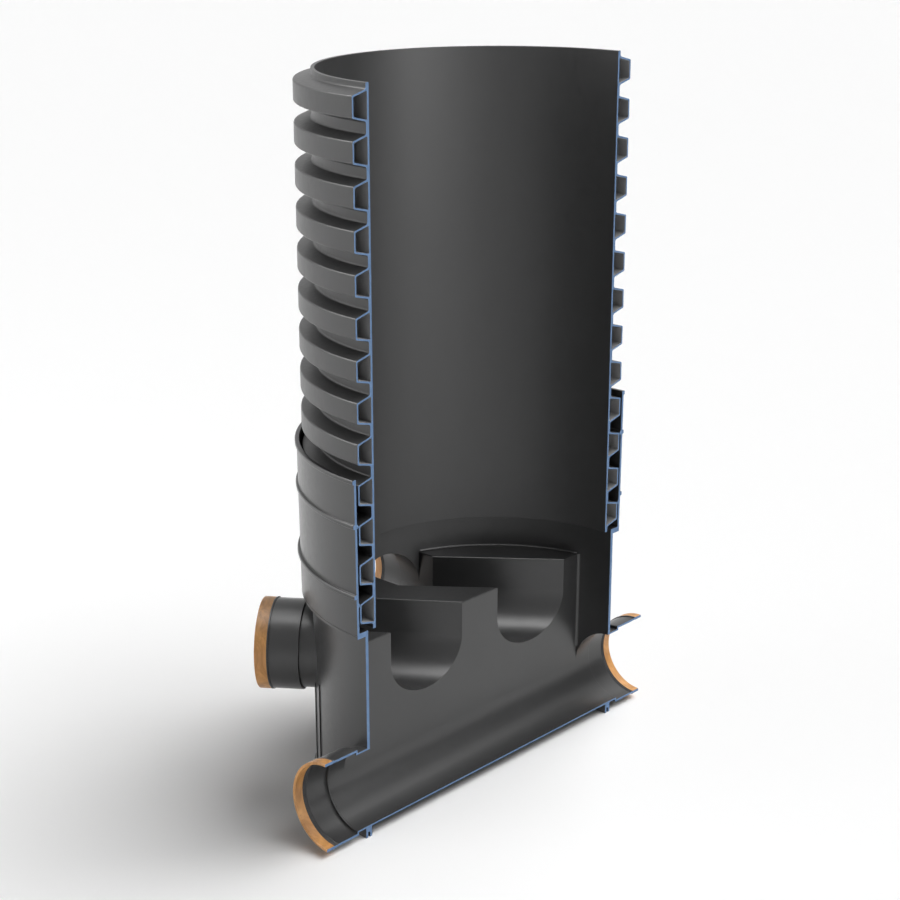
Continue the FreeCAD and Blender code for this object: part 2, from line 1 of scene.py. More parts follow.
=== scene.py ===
"""Dresses the sectioned drain inspection chamber and lights it for its picture.

Everything is in metres in the part's own frame: +X runs downstream along the main
channel, +Y into the kept half and +Z up, with the ground at zero.
"""
import logging
import math
from dataclasses import dataclass, field
from enum import Enum
from typing import Any, Optional, Sequence

import bmesh
import bpy
from mathutils import Matrix, Vector


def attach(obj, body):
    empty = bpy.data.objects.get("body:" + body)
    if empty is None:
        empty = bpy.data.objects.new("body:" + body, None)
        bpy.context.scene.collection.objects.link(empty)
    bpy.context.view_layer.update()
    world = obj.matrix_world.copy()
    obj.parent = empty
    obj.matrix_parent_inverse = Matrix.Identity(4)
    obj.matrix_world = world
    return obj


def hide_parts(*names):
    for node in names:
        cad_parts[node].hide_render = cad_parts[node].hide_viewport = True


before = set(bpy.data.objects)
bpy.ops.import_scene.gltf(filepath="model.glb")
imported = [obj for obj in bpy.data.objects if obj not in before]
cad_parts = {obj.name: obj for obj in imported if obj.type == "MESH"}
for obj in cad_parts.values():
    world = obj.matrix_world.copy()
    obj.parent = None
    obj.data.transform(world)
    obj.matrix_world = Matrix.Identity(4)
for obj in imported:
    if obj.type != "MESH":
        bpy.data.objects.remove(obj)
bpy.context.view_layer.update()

log = logging.getLogger("drain_chamber")

MM = 0.001
ON_PLANE = 1e-6
NOISE_LOW = 0.3
NOISE_HIGH = 0.7

Colour = tuple[float, float, float]
Corner = tuple[float, float, float]


class Slot(Enum):
    """The record's material slots."""

    RISER = "riser_plastic"
    BASE = "base_plastic"
    RING = "ring_plastic"
    SEAL = "seal_rubber"


class Sweep(Enum):
    """How far a section is turned round its axis."""

    HALF = math.pi
    WHOLE = 2.0 * math.pi


class Reach(Enum):
    """What a lamp lights: a surface's matt share or its gloss."""

    MATT = (True, False)
    GLOSS = (False, True)

    def limit(self, lamp: bpy.types.Object) -> None:
        """Holds a lamp to this reach."""
        lamp.visible_diffuse, lamp.visible_glossy = self.value


def rgba(colour: Colour) -> tuple[float, float, float, float]:
    """Returns a colour with full alpha."""
    return (*colour, 1.0)


def sky_direction(azimuth: float, elevation: float) -> Vector:
    """Finds the way to a point of the sky.

    Args:
        azimuth: Its turn from +X towards +Y, in degrees.
        elevation: Its height above the ground, in degrees.

    Returns:
        A vector of length one.
    """
    turn = math.radians(azimuth)
    level = math.cos(math.radians(elevation))
    return Vector((level * math.cos(turn), level * math.sin(turn), math.sin(math.radians(elevation))))


class Board:
    """A material's or a world's node tree, built node by node."""

    def __init__(self, tree: bpy.types.NodeTree) -> None:
        """Empties the tree and keeps it.

        Args:
            tree: The node tree to fill.
        """
        self.tree = tree
        self.tree.nodes.clear()

    def node(self, kind: str, settings: Optional[dict[str, Any]] = None, **sockets: Any) -> bpy.types.Node:
        """Adds a node.

        Args:
            kind: Blender's name for the node's type.
            settings: Properties of the node itself.
            sockets: Input values or links, with underscores for the blanks in socket names.

        Returns:
            The new node.
        """
        made = self.tree.nodes.new(kind)
        for key, value in (settings or {}).items():
            setattr(made, key, value)
        for key, value in sockets.items():
            self.feed(made.inputs[key.replace("_", " ")], value)
        return made

    def feed(self, socket: bpy.types.NodeSocket, value: Any) -> None:
        """Sets a socket to a constant or links another socket to it.

        Args:
            socket: The input to feed.
            value: A constant, or an output socket to link.
        """
        if isinstance(value, bpy.types.NodeSocket):
            self.tree.links.new(value, socket)
        else:
            socket.default_value = value

    def place(self) -> bpy.types.NodeSocket:
        """Returns the place on the piece, in Object coordinates."""
        return self.node("ShaderNodeTexCoord").outputs["Object"]

    def stretch(self, place: bpy.types.NodeSocket, scale: Vector) -> bpy.types.NodeSocket:
        """Returns a place with each of its axes scaled."""
        return self.node("ShaderNodeMapping", Vector=place, Scale=scale).outputs["Vector"]

    def noise(self, place: bpy.types.NodeSocket, scale: float, **settings: float) -> bpy.types.NodeSocket:
        """Adds a cloudy noise.

        Args:
            place: Where the noise is read.
            scale: Its fineness.
            settings: Its other inputs, such as Detail.

        Returns:
            The noise, from nought to one.
        """
        return self.node("ShaderNodeTexNoise", Vector=place, Scale=scale, **settings).outputs["Fac"]

    def calculate(self, operation: str, *values: Any) -> bpy.types.NodeSocket:
        """Adds a reckoning step.

        Args:
            operation: Blender's name for it.
            values: Constants or sockets, in the order of the node's inputs.

        Returns:
            The result.
        """
        made = self.node("ShaderNodeMath", {"operation": operation})
        for socket, value in zip(made.inputs, values):
            self.feed(socket, value)
        return made.outputs["Value"]

    def blend(
        self, tone: bpy.types.NodeSocket, start: float, low: Colour, stop: float, high: Colour
    ) -> bpy.types.NodeSocket:
        """Adds a ramp between two colours.

        Args:
            tone: The value that runs along the ramp.
            start: Value up to which the colour is low.
            low: The ramp's first colour.
            stop: Value from which the colour is high.
            high: The ramp's last colour.

        Returns:
            The colour.
        """
        made = self.node("ShaderNodeValToRGB", Fac=tone)
        first, last = made.color_ramp.elements
        first.position = start
        first.color = rgba(low)
        last.position = stop
        last.color = rgba(high)
        return made.outputs["Color"]

    def vary(self, noise: bpy.types.NodeSocket, low: float, high: float) -> bpy.types.NodeSocket:
        """Spreads a noise between two values.

        Args:
            noise: The noise, most of which lies between NOISE_LOW and NOISE_HIGH.
            low: Result where the noise is low.
            high: Result where it is high.

        Returns:
            The spread value.
        """
        made = self.node(
            "ShaderNodeMapRange", Value=noise, From_Min=NOISE_LOW, From_Max=NOISE_HIGH,
            To_Min=low, To_Max=high,
        )
        return made.outputs["Result"]

    def bump(self, height: bpy.types.NodeSocket, strength: float, distance: float) -> bpy.types.NodeSocket:
        """Turns a height into a surface normal.

        Args:
            height: The height.
            strength: How much of it counts, up to one.
            distance: Depth of the relief, in metres.

        Returns:
            The normal.
        """
        made = self.node("ShaderNodeBump", Strength=strength, Distance=distance, Height=height)
        return made.outputs["Normal"]

    def skin(
        self, colour: bpy.types.NodeSocket, roughness: Any, normal: bpy.types.NodeSocket, ior: float = 1.5
    ) -> None:
        """Closes a material with its shader.

        Args:
            colour: The surface's colour.
            roughness: A constant or a socket.
            normal: The surface's normal.
            ior: Index of refraction.
        """
        shader = self.node(
            "ShaderNodeBsdfPrincipled", Base_Color=colour, Roughness=roughness, Normal=normal, IOR=ior,
        )
        self.node("ShaderNodeOutputMaterial", Surface=shader.outputs["BSDF"])


def new_board(name: str) -> tuple[bpy.types.Material, Board]:
    """Makes an empty material with its node board.

    Args:
        name: The material's name.

    Returns:
        The material and the board of its node tree.
    """
    material = bpy.data.materials.new(name)
    material.use_nodes = True
    return material, Board(material.node_tree)


@dataclass(frozen=True)
class BlackPlastic:
    """Satin black polypropylene with soft clouding and a fine moulded grain. Lengths in metres."""

    name: str
    colour: Colour = (0.034, 0.034, 0.0345)
    cloud_share: float = 0.10
    cloud_scale: float = 7.0
    fleck_ratio: float = 14.0
    fleck_share: float = 0.35
    tone_start: float = 0.40
    tone_stop: float = 0.95
    roughness: float = 0.34
    roughness_spread: float = 0.03
    draw: Vector = field(default_factory=lambda: Vector((1.0, 1.0, 1.0)))
    grain_scale: float = 900.0
    grain_strength: float = 0.35
    grain_height: float = 0.00006
    ior: float = 1.49

    def material(self) -> bpy.types.Material:
        """Makes the plastic.

        Returns:
            A material that reads Object coordinates.
        """
        material, board = new_board(self.name)
        place = board.place()
        drawn = board.stretch(place, self.draw)
        cloud = board.noise(drawn, self.cloud_scale, Detail=3.0, Roughness=0.55)
        fleck = board.noise(drawn, self.cloud_scale * self.fleck_ratio, Detail=4.0)
        tone = board.calculate("MULTIPLY_ADD", fleck, self.fleck_share, cloud)
        low = tuple(part * (1.0 - self.cloud_share) for part in self.colour)
        high = tuple(part * (1.0 + self.cloud_share) for part in self.colour)
        colour = board.blend(tone, self.tone_start, low, self.tone_stop, high)
        smoothest = self.roughness - self.roughness_spread
        rough = board.vary(fleck, smoothest, self.roughness + self.roughness_spread)
        grain = board.noise(place, self.grain_scale, Detail=2.0)
        board.skin(colour, rough, board.bump(grain, self.grain_strength, self.grain_height), self.ior)
        return material


@dataclass(frozen=True)
class RingPlastic:
    """Orange tan plastic, mottled where the melt flowed round the ring. Lengths in metres."""

    name: str = "orange_ring_plastic"
    dark: Colour = (0.43, 0.190, 0.048)
    light: Colour = (0.74, 0.375, 0.125)
    flow_scale: float = 26.0
    flow_draw: Vector = field(default_factory=lambda: Vector((1.0, 1.0, 0.35)))
    flow_start: float = 0.34
    flow_stop: float = 0.66
    smoothest: float = 0.35
    roughest: float = 0.48
    relief_strength: float = 0.2
    relief: float = 0.0002

    def material(self) -> bpy.types.Material:
        """Makes the ring plastic.

        Returns:
            A material that reads Object coordinates.
        """
        material, board = new_board(self.name)
        streak = board.stretch(board.place(), self.flow_draw)
        flow = board.noise(streak, self.flow_scale, Detail=5.0, Roughness=0.6, Distortion=1.4)
        colour = board.blend(flow, self.flow_start, self.dark, self.flow_stop, self.light)
        rough = board.vary(flow, self.smoothest, self.roughest)
        board.skin(colour, rough, board.bump(flow, self.relief_strength, self.relief))
        return material


@dataclass(frozen=True)
class SealRubber:
    """Matt black rubber with a fine bloom. Lengths in metres."""

    name: str = "seal_rubber"
    colour: Colour = (0.018, 0.018, 0.019)
    bloom: Colour = (0.034, 0.034, 0.036)
    bloom_scale: float = 60.0
    bloom_start: float = 0.42
    bloom_stop: float = 0.75
    roughness: float = 0.72
    relief_strength: float = 0.3
    relief: float = 0.0002

    def material(self) -> bpy.types.Material:
        """Makes the rubber.

        Returns:
            A material that reads Object coordinates.
        """
        material, board = new_board(self.name)
        dust = board.noise(board.place(), self.bloom_scale, Detail=6.0, Roughness=0.65)
        colour = board.blend(dust, self.bloom_start, self.colour, self.bloom_stop, self.bloom)
        board.skin(colour, self.roughness, board.bump(dust, self.relief_strength, self.relief))
        return material


@dataclass(frozen=True)
class SectionPaint:
    """Blue paint that marks the sawn faces, thinner where the brush ran dry. Lengths in metres."""

    name: str = "section_blue"
    colour: Colour = (0.092, 0.185, 0.355)
    pale: Colour = (0.122, 0.225, 0.405)
    brush_scale: float = 45.0
    brush_start: float = 0.35
    brush_stop: float = 0.70
    roughness: float = 0.55
    relief_strength: float = 0.15
    relief: float = 0.0001

    def material(self) -> bpy.types.Material:
        """Makes the paint.

        Returns:
            A material that reads Object coordinates.
        """
        material, board = new_board(self.name)
        brush = board.noise(board.place(), self.brush_scale, Detail=4.0, Roughness=0.6)
        colour = board.blend(brush, self.brush_start, self.colour, self.brush_stop, self.pale)
        board.skin(colour, self.roughness, board.bump(brush, self.relief_strength, self.relief))
        return material


@dataclass(frozen=True)
class StudioFloor:
    """Pale matt floor with a small lift in its own reflection."""

    name: str = "studio_floor"
    colour: Colour = (0.93, 0.93, 0.93)
    lift: float = 0.27

    def material(self) -> bpy.types.Material:
        """Makes the floor's material.

        Returns:
            A diffuse material that glossy rays see a little brighter.
        """
        material, board = new_board(self.name)
        matt = board.node("ShaderNodeBsdfDiffuse", Color=rgba(self.colour))
        path = board.node("ShaderNodeLightPath")
        seen = board.calculate("MULTIPLY", path.outputs["Is Glossy Ray"], self.lift)
        glow = board.node("ShaderNodeEmission", Strength=seen)
        both = board.node("ShaderNodeAddShader")
        board.feed(both.inputs[0], matt.outputs["BSDF"])
        board.feed(both.inputs[1], glow.outputs["Emission"])
        board.node("ShaderNodeOutputMaterial", Surface=both.outputs["Shader"])
        return material


class Section:
    """A section in the XZ plane, drawn as outlines and spun into a solid."""

    corner_facets = 3

    def __init__(self) -> None:
        """Starts an empty section."""
        self.mesh = bmesh.new()

    def outline(self, corners: Sequence[Corner]) -> "Section":
        """Draws one closed outline with rounded corners.

        Args:
            corners: Distance from the axis, place along it and rounding, in millimetres.

        Returns:
            The section itself.
        """
        rounded: dict[float, list[bmesh.types.BMVert]] = {}
        verts = []
        for across, along, radius in corners:
            vert = self.mesh.verts.new((across * MM, 0.0, along * MM))
            verts.append(vert)
            if radius > 0.0:
                rounded.setdefault(radius, []).append(vert)
        self.mesh.faces.new(verts)
        for radius, chosen in rounded.items():
            bmesh.ops.bevel(
                self.mesh, geom=chosen, offset=radius * MM, segments=self.corner_facets,
                profile=0.5, affect="VERTICES", material=-1,
            )
        bmesh.ops.delete(self.mesh, geom=list(self.mesh.faces), context="FACES_ONLY")
        return self

    def spin(self, sweep: Sweep, steps: int) -> bmesh.types.BMesh:
        """Turns the section about the Z axis.

        Args:
            sweep: Half for a sectioned piece, whole for a ring.
            steps: Facets round the turn.

        Returns:
            The mesh, with its normals outward.
        """
        if sweep is Sweep.HALF:
            bmesh.ops.triangle_fill(
                self.mesh, edges=list(self.mesh.edges), use_beauty=True, use_dissolve=False,
            )
        bmesh.ops.spin(
            self.mesh, geom=list(self.mesh.verts) + list(self.mesh.edges) + list(self.mesh.faces),
            cent=Vector((0.0, 0.0, 0.0)), axis=Vector((0.0, 0.0, 1.0)), angle=sweep.value,
            steps=steps, use_merge=sweep is Sweep.WHOLE, use_duplicate=False,
        )
        bmesh.ops.remove_doubles(self.mesh, verts=list(self.mesh.verts), dist=ON_PLANE)
        bmesh.ops.recalc_face_normals(self.mesh, faces=list(self.mesh.faces))
        return self.mesh


@dataclass
class Piece:
    """A finished mesh with its finish, its slot and the node that it stands for."""

    name: str
    node: str
    slot: Slot
    finish: bpy.types.Material
    paint: bpy.types.Material
    sharp_angle: float = 32.0

    def place(
        self, mesh: bmesh.types.BMesh, where: Matrix = Matrix.Identity(4), even: bool = True
    ) -> bpy.types.Object:
        """Turns a mesh into a piece that replaces its node.

        Args:
            mesh: The mesh, which is freed.
            where: The place and turn that go into the mesh.
            even: Whether large faces rule the shading of their edges.

        Returns:
            The new object, at the origin.
        """
        bmesh.ops.transform(mesh, matrix=where, verts=list(mesh.verts))
        for face in mesh.faces:
            face.smooth = True
            face.material_index = int(all(abs(vert.co.y) < ON_PLANE for vert in face.verts))
        data = bpy.data.meshes.new(self.name)
        mesh.to_mesh(data)
        mesh.free()
        data.materials.append(self.finish)
        data.materials.append(self.paint)
        made = bpy.data.objects.new(self.name, data)
        bpy.context.scene.collection.objects.link(made)
        if even:
            data.set_sharp_from_angle(angle=math.radians(self.sharp_angle))
            weighted = made.modifiers.new("even_normals", "WEIGHTED_NORMAL")
            weighted.keep_sharp = True
        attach(made, "root")
        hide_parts(self.node)
        log.info("%s: %d faces in place of %s", self.name, len(data.polygons), self.node)
        return made


@dataclass
class Finishes:
    """Every material of the object, made once."""

    riser: bpy.types.Material = field(init=False)
    # Pale plastic for the rib hollows: painted light that lifts their shade.
    hollow: bpy.types.Material = field(init=False)
    base: bpy.types.Material = field(init=False)
    ring: bpy.types.Material = field(init=False)
    seal: bpy.types.Material = field(init=False)
    paint: bpy.types.Material = field(init=False)

    def __post_init__(self) -> None:
        """Makes the materials."""
        self.riser = BlackPlastic(
            "black_riser_plastic", roughness=0.42, draw=Vector((1.0, 1.0, 0.45)),
        ).material()
        # The rib hollows get a grey far lighter than the riser's black plastic. This is painted light that
        # brightens hollows lying in shade, not a real finish of the plastic.
        self.hollow = BlackPlastic(
            "hollow_painted_light_plastic", colour=(0.28, 0.28, 0.283), roughness=0.5,
        ).material()
        self.base = BlackPlastic("black_base_plastic", roughness=0.33, cloud_scale=5.0).material()
        self.ring = RingPlastic().material()
        self.seal = SealRubber().material()
        self.paint = SectionPaint().material()


@dataclass
class Riser:
    """The corrugated riser: a smooth liner with hollow ribs moulded round it. Sizes in millimetres."""

    radius: float = 400.0
    liner: float = 5.0
    skin: float = 3.5
    foot: float = 503.6
    rib_count: int = 13
    rib_pitch: float = 90.3
    rib_depth: float = 38.2
    rib_crest: float = 45.0
    rib_foot: float = 64.4
    rib_wall: float = 4.0
    crest_rounding: float = 3.0
    valley_rounding: float = 4.0
    hollow_rounding: float = 2.5
    rim_rounding: float = 1.0
    steps: int = 96

    def rib(self, middle: float) -> list[Corner]:
        """Returns the outside of one rib, from its lower valley to its upper one.

        Args:
            middle: Height of the rib's middle above the ground.
        """
        valley = self.radius + self.liner + self.skin
        crest = valley + self.rib_depth
        return [
            (valley, middle - self.rib_foot / 2, self.valley_rounding),
            (crest, middle - self.rib_crest / 2, self.crest_rounding),
            (crest, middle + self.rib_crest / 2, self.crest_rounding),
            (valley, middle + self.rib_foot / 2, self.valley_rounding),
        ]

    def hollow(self, middle: float) -> list[Corner]:
        """Returns the outline of the hollow inside one rib.

        Args:
            middle: Height of the rib's middle above the ground.
        """
        inner = self.radius + self.liner
        top = self.radius + self.liner + self.skin + self.rib_depth - self.rib_wall
        flank = (self.rib_foot - self.rib_crest) / 2 / self.rib_depth
        half_crest = self.rib_crest / 2 - self.rib_wall * (1 - flank)
        half_foot = half_crest + (top - inner) * flank
        return [
            (inner, middle - half_foot, self.hollow_rounding),
            (top, middle - half_crest, self.hollow_rounding),
            (top, middle + half_crest, self.hollow_rounding),
            (inner, middle + half_foot, self.hollow_rounding),
        ]

    def build(self, finishes: Finishes) -> bpy.types.Object:
        """Builds and dresses the riser.

        Args:
            finishes: The object's materials.

        Returns:
            The finished piece.
        """
        section = Section()
        middles = [self.foot + self.rib_pitch * (number + 0.5) for number in range(self.rib_count)]
        head = self.foot + self.rib_pitch * self.rib_count
        valley = self.radius + self.liner + self.skin
        outside = [corner for middle in middles for corner in self.rib(middle)]
        section.outline(
            [(self.radius, self.foot, self.rim_rounding), (valley, self.foot, self.rim_rounding)]
            + outside
            + [(valley, head, self.rim_rounding), (self.radius, head, self.rim_rounding)]
        )
        for middle in middles:
            section.outline(self.hollow(middle))
        piece = Piece("ribbed_riser", "riser_pipe", Slot.RISER, finishes.riser, finishes.paint)
        riser = piece.place(section.spin(Sweep.HALF, self.steps))
        # Faces that line the rib hollows take the pale plastic, which paints light into the hollows' shade.
        painted_light_index = len(riser.data.materials)
        riser.data.materials.append(finishes.hollow)
        for face in riser.data.polygons:
            if face.material_index == 0 and self.in_hollow(face):
                face.material_index = painted_light_index
        return riser

    def in_hollow(self, face: bpy.types.MeshPolygon) -> bool:
        """Returns whether a face lines one of the hollows inside the ribs.

        Args:
            face: A face of the finished riser.
        """
        pitch = self.rib_pitch * MM
        level = (face.center.z - self.foot * MM) % pitch - pitch / 2
        if abs(level) > self.rib_foot * MM / 2:
            return False
        outward = Vector((face.center.x, face.center.y, 0.0)).normalized()
        core = outward * (self.radius + self.liner + self.rib_depth / 2) * MM
        core.z = face.center.z - level
        return face.normal.dot(core - face.center) > 0.0


@dataclass
class Sleeve:
    """The push-fit sleeve with its collars and beads. Sizes in millimetres."""

    foot: float = 498.3
    height: float = 358.7
    floor_inner: float = 424.0
    floor: float = 6.3
    inner: float = 450.0
    wall: float = 6.0
    flare: float = 3.0
    collar_radius: float = 463.0
    collar_height: float = 10.0
    collar_levels: tuple[float, float] = (87.7, 248.55)
    bead_radius: float = 447.0
    bead_height: float = 6.0
    bead_levels: tuple[float, float] = (72.95, 253.55)
    edge_rounding: float = 1.2
    collar_rounding: float = 2.5
    bead_rounding: float = 0.8
    floor_rounding: float = 2.0
    steps: int = 96

    def outer_at(self, level: float) -> float:
        """Returns the outer radius at a level above the sleeve's foot."""
        return self.inner + self.wall + self.flare * level / self.height

    def inner_at(self, level: float) -> float:
        """Returns the inner radius at a level above the sleeve's foot."""
        return self.inner + self.flare * (level - self.floor) / (self.height - self.floor)

    def build(self, finishes: Finishes) -> bpy.types.Object:
        """Builds and dresses the sleeve.

        Args:
            finishes: The object's materials.

        Returns:
            The finished piece.
        """
        outside: list[Corner] = [(self.outer_at(0.0), 0.0, self.edge_rounding)]
        for level in self.collar_levels:
            top = level + self.collar_height
            outside += [
                (self.outer_at(level), level, self.edge_rounding),
                (self.collar_radius, level, self.collar_rounding),
                (self.collar_radius, top, self.collar_rounding),
                (self.outer_at(top), top, self.edge_rounding),
            ]
        lip = self.height - self.collar_height
        outside += [
            (self.outer_at(lip), lip, self.edge_rounding),
            (self.collar_radius, lip, self.collar_rounding),
            (self.collar_radius, self.height, self.collar_rounding),
            (self.inner_at(self.height), self.height, self.edge_rounding),
        ]
        inside: list[Corner] = []
        for level in reversed(self.bead_levels):
            inside += [
                (self.inner_at(level + self.bead_height), level + self.bead_height, 0.0),
                (self.bead_radius, level, self.bead_rounding),
                (self.bead_radius, level - self.bead_height / 2, self.bead_rounding),
                (self.inner_at(level - self.bead_height), level - self.bead_height, 0.0),
            ]
        inside += [
            (self.inner_at(self.floor), self.floor, self.floor_rounding),
            (self.floor_inner, self.floor, self.edge_rounding),
            (self.floor_inner, 0.0, 0.0),
        ]
        section = Section().outline(outside + inside)
        piece = Piece("push_fit_sleeve", "riser_socket", Slot.BASE, finishes.base, finishes.paint)
        lifted = Matrix.Translation((0.0, 0.0, self.foot * MM))
        return piece.place(section.spin(Sweep.HALF, self.steps), lifted)


@dataclass
class ChamberBase:
    """The moulded base: body wall, bench, channels and necks. Sizes in millimetres, angles in degrees.

    Each entry of ribs is the azimuth of a slim wall rib and the height of its upper end.
    """

    node: str = "chamber_base"
    true_normal: str = "true_normal"
    wall_inner: float = 424.0
    front_depth: float = 94.5
    bench_top: float = 418.6
    fill_leg: float = 7.0
    fill_foot: float = 165.0
    fill_sink: float = 1.0
    rib_width: float = 4.0
    rib_inner: float = 427.0
    rib_outer: float = 434.5
    rib_foot: float = 20.0
    ribs: tuple[tuple[float, float], ...] = (
        (116.6, 290.0), (122.9, 278.0), (144.5, 278.0), (150.8, 290.0),
    )

    def copy_solid(self) -> bmesh.types.BMesh:
        """Copies the base's solid and merges the copy, with each corner's true normal kept beside it.

        Returns:
            The merged mesh.
        """
        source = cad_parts[self.node].data
        mesh = bmesh.new()
        mesh.from_mesh(source)
        layer = mesh.loops.layers.float_vector.new(self.true_normal)
        for face in mesh.faces:
            for loop in face.loops:
                loop[layer] = source.corner_normals[loop.index].vector
        bmesh.ops.remove_doubles(mesh, verts=list(mesh.verts), dist=ON_PLANE)
        return mesh

    def add_rib(self, mesh: bmesh.types.BMesh, azimuth: float, head: float) -> None:
        """Adds a slim upright rib on the wall beside the side neck.

        Args:
            mesh: The base's mesh.
            azimuth: Where the rib stands, round the riser's axis.
            head: Height of the rib's upper end.
        """
        middle = Vector(((self.rib_inner + self.rib_outer) / 2, 0.0, (self.rib_foot + head) / 2)) * MM
        size = Vector((self.rib_outer - self.rib_inner, self.rib_width, head - self.rib_foot)) * MM
        turn = Matrix.Rotation(math.radians(azimuth), 4, "Z")
        place = turn @ Matrix.Translation(middle) @ Matrix.Diagonal((*size, 1.0))
        made = bmesh.ops.create_cube(mesh, size=1.0, matrix=place)
        layer = mesh.loops.layers.float_vector[self.true_normal]
        for face in {face for vert in made["verts"] for face in vert.link_faces}:
            face.normal_update()
            for loop in face.loops:
                loop[layer] = face.normal

    def add_corner_fill(self, mesh: bmesh.types.BMesh) -> None:
        """Adds the hollow rounding in the upright corner between the front face and the wall.

        Args:
            mesh: The base's mesh.
        """
        across = math.sqrt(self.wall_inner ** 2 - self.front_depth ** 2)
        corner = Vector((across, self.front_depth, self.fill_foot)) * MM
        wall_normal = Vector((-corner.x, -corner.y, 0.0)).normalized()
        front_normal = Vector((0.0, -1.0, 0.0))
        along_wall = Vector((-wall_normal.y, wall_normal.x, 0.0))
        leg = self.fill_leg * MM
        on_front = mesh.verts.new(corner + Vector((-leg, 0.0, 0.0)))
        in_corner = mesh.verts.new(corner + Vector((1.0, 1.0, 0.0)) * self.fill_sink * MM)
        on_wall = mesh.verts.new(corner + along_wall * leg)
        foot = mesh.faces.new((on_front, in_corner, on_wall))
        grown = bmesh.ops.extrude_face_region(mesh, geom=[foot], use_keep_orig=True)["geom"]
        risen = [item for item in grown if isinstance(item, bmesh.types.BMVert)]
        bmesh.ops.translate(mesh, verts=risen, vec=(0.0, 0.0, (self.bench_top - self.fill_foot) * MM))
        faces = list({face for vert in risen for face in vert.link_faces} | {foot})
        bmesh.ops.recalc_face_normals(mesh, faces=faces)
        layer = mesh.loops.layers.float_vector[self.true_normal]
        for face in faces:
            face.normal_update()
            slanted = face.normal.dot(wall_normal) > 0.5 and face.normal.dot(front_normal) > 0.5
            for loop in face.loops:
                beside_wall = (loop.vert.co.xy - on_wall.co.xy).length < leg / 2
                flush = wall_normal if beside_wall else front_normal
                loop[layer] = flush if slanted else face.normal

    def build(self, finishes: Finishes) -> bpy.types.Object:
        """Copies the base's solid and dresses it.

        Args:
            finishes: The object's materials.

        Returns:
            The finished piece.
        """
        mesh = self.copy_solid()
        self.add_corner_fill(mesh)
        for azimuth, head in self.ribs:
            self.add_rib(mesh, azimuth, head)
        piece = Piece("benched_base", self.node, Slot.BASE, finishes.base, finishes.paint)
        made = piece.place(mesh, even=False)
        kept = made.data.attributes[self.true_normal]
        made.data.normals_split_custom_set([item.vector[:] for item in kept.data])
        made.data.attributes.remove(made.data.attributes[self.true_normal])
        return made


class EndName(Enum):
    """The four pipe ends, by the first part of their nodes' names."""

    MAIN_INLET = "main_inlet"
    MAIN_OUTLET = "main_outlet"
    SIDE_INLET = "side_inlet"
    REAR_INLET = "rear_inlet"


